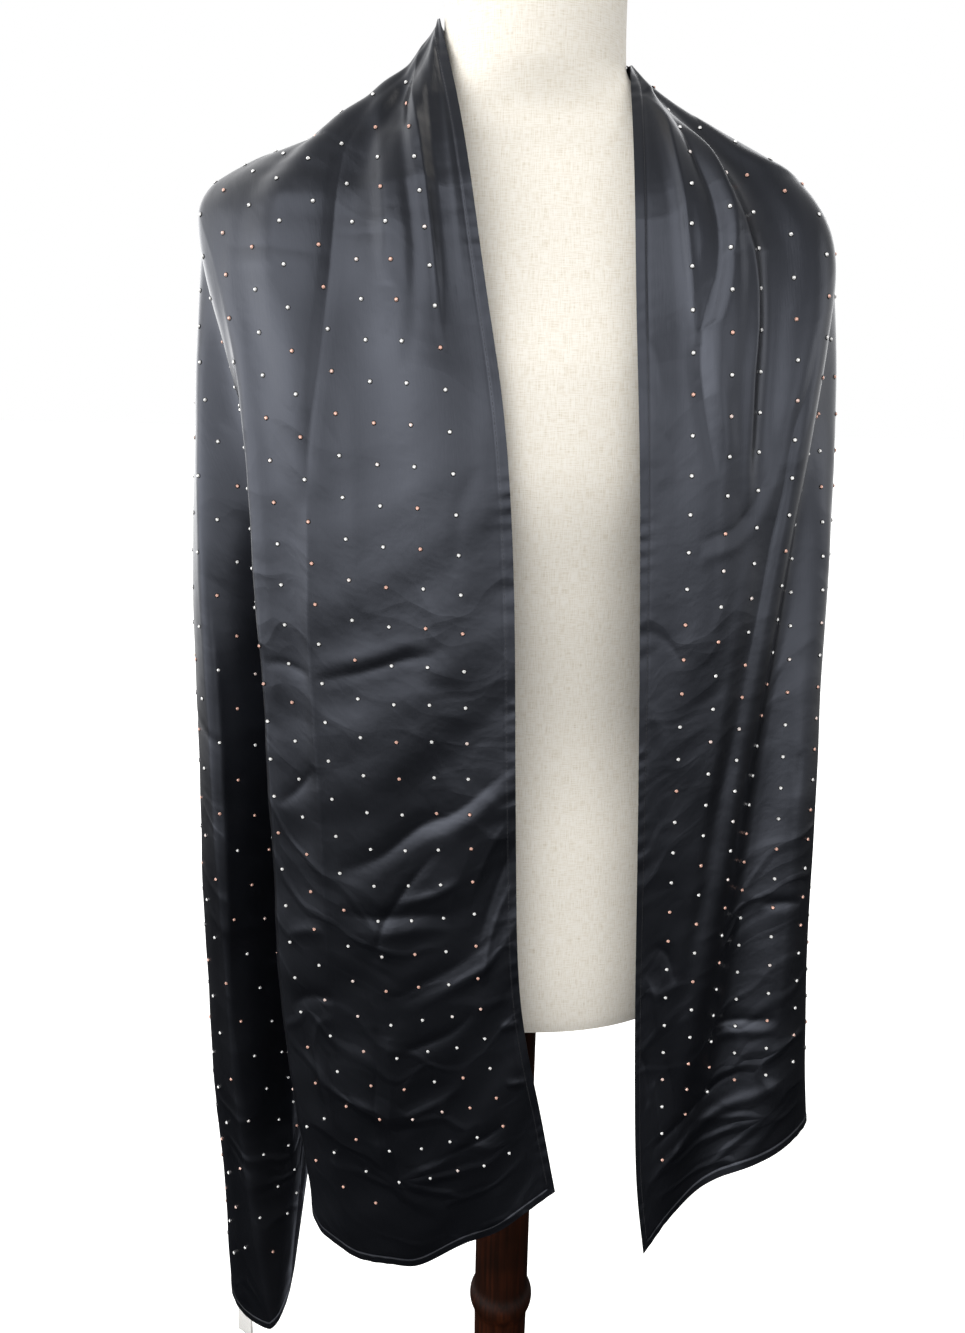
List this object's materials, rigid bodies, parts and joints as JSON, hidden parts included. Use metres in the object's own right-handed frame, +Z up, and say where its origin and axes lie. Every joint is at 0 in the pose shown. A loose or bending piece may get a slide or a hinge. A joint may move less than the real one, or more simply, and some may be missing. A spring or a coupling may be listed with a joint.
{
  "type": "shawl on dress form",
  "caption": "Black satin shawl with small stones draped over the shoulders of a limbless linen dress form on a turned wooden stand.",
  "frame": {"origin": "centre of the stand base's underside, on the floor", "axes": "+Z up along the post, -Y towards the front opening of the shawl, +X towards the viewer's right"},
  "size_m": [0.487, 0.34, 1.48],
  "materials": {
    "black_satin": "glossy satin",
    "label_tape": "woven label tape",
    "oatmeal_linen": "matte linen",
    "dark_wood": "dark satin lacquer"
  },
  "bodies": {
    "root": {"shawl_right_front": "black_satin", "shawl_back": "black_satin", "shawl_left_fall": "black_satin", "shawl_left_front": "black_satin", "care_label": "label_tape", "dress_form": "oatmeal_linen", "stand_post": "dark_wood", "stand_base": "dark_wood"}
  },
  "joints": []
}
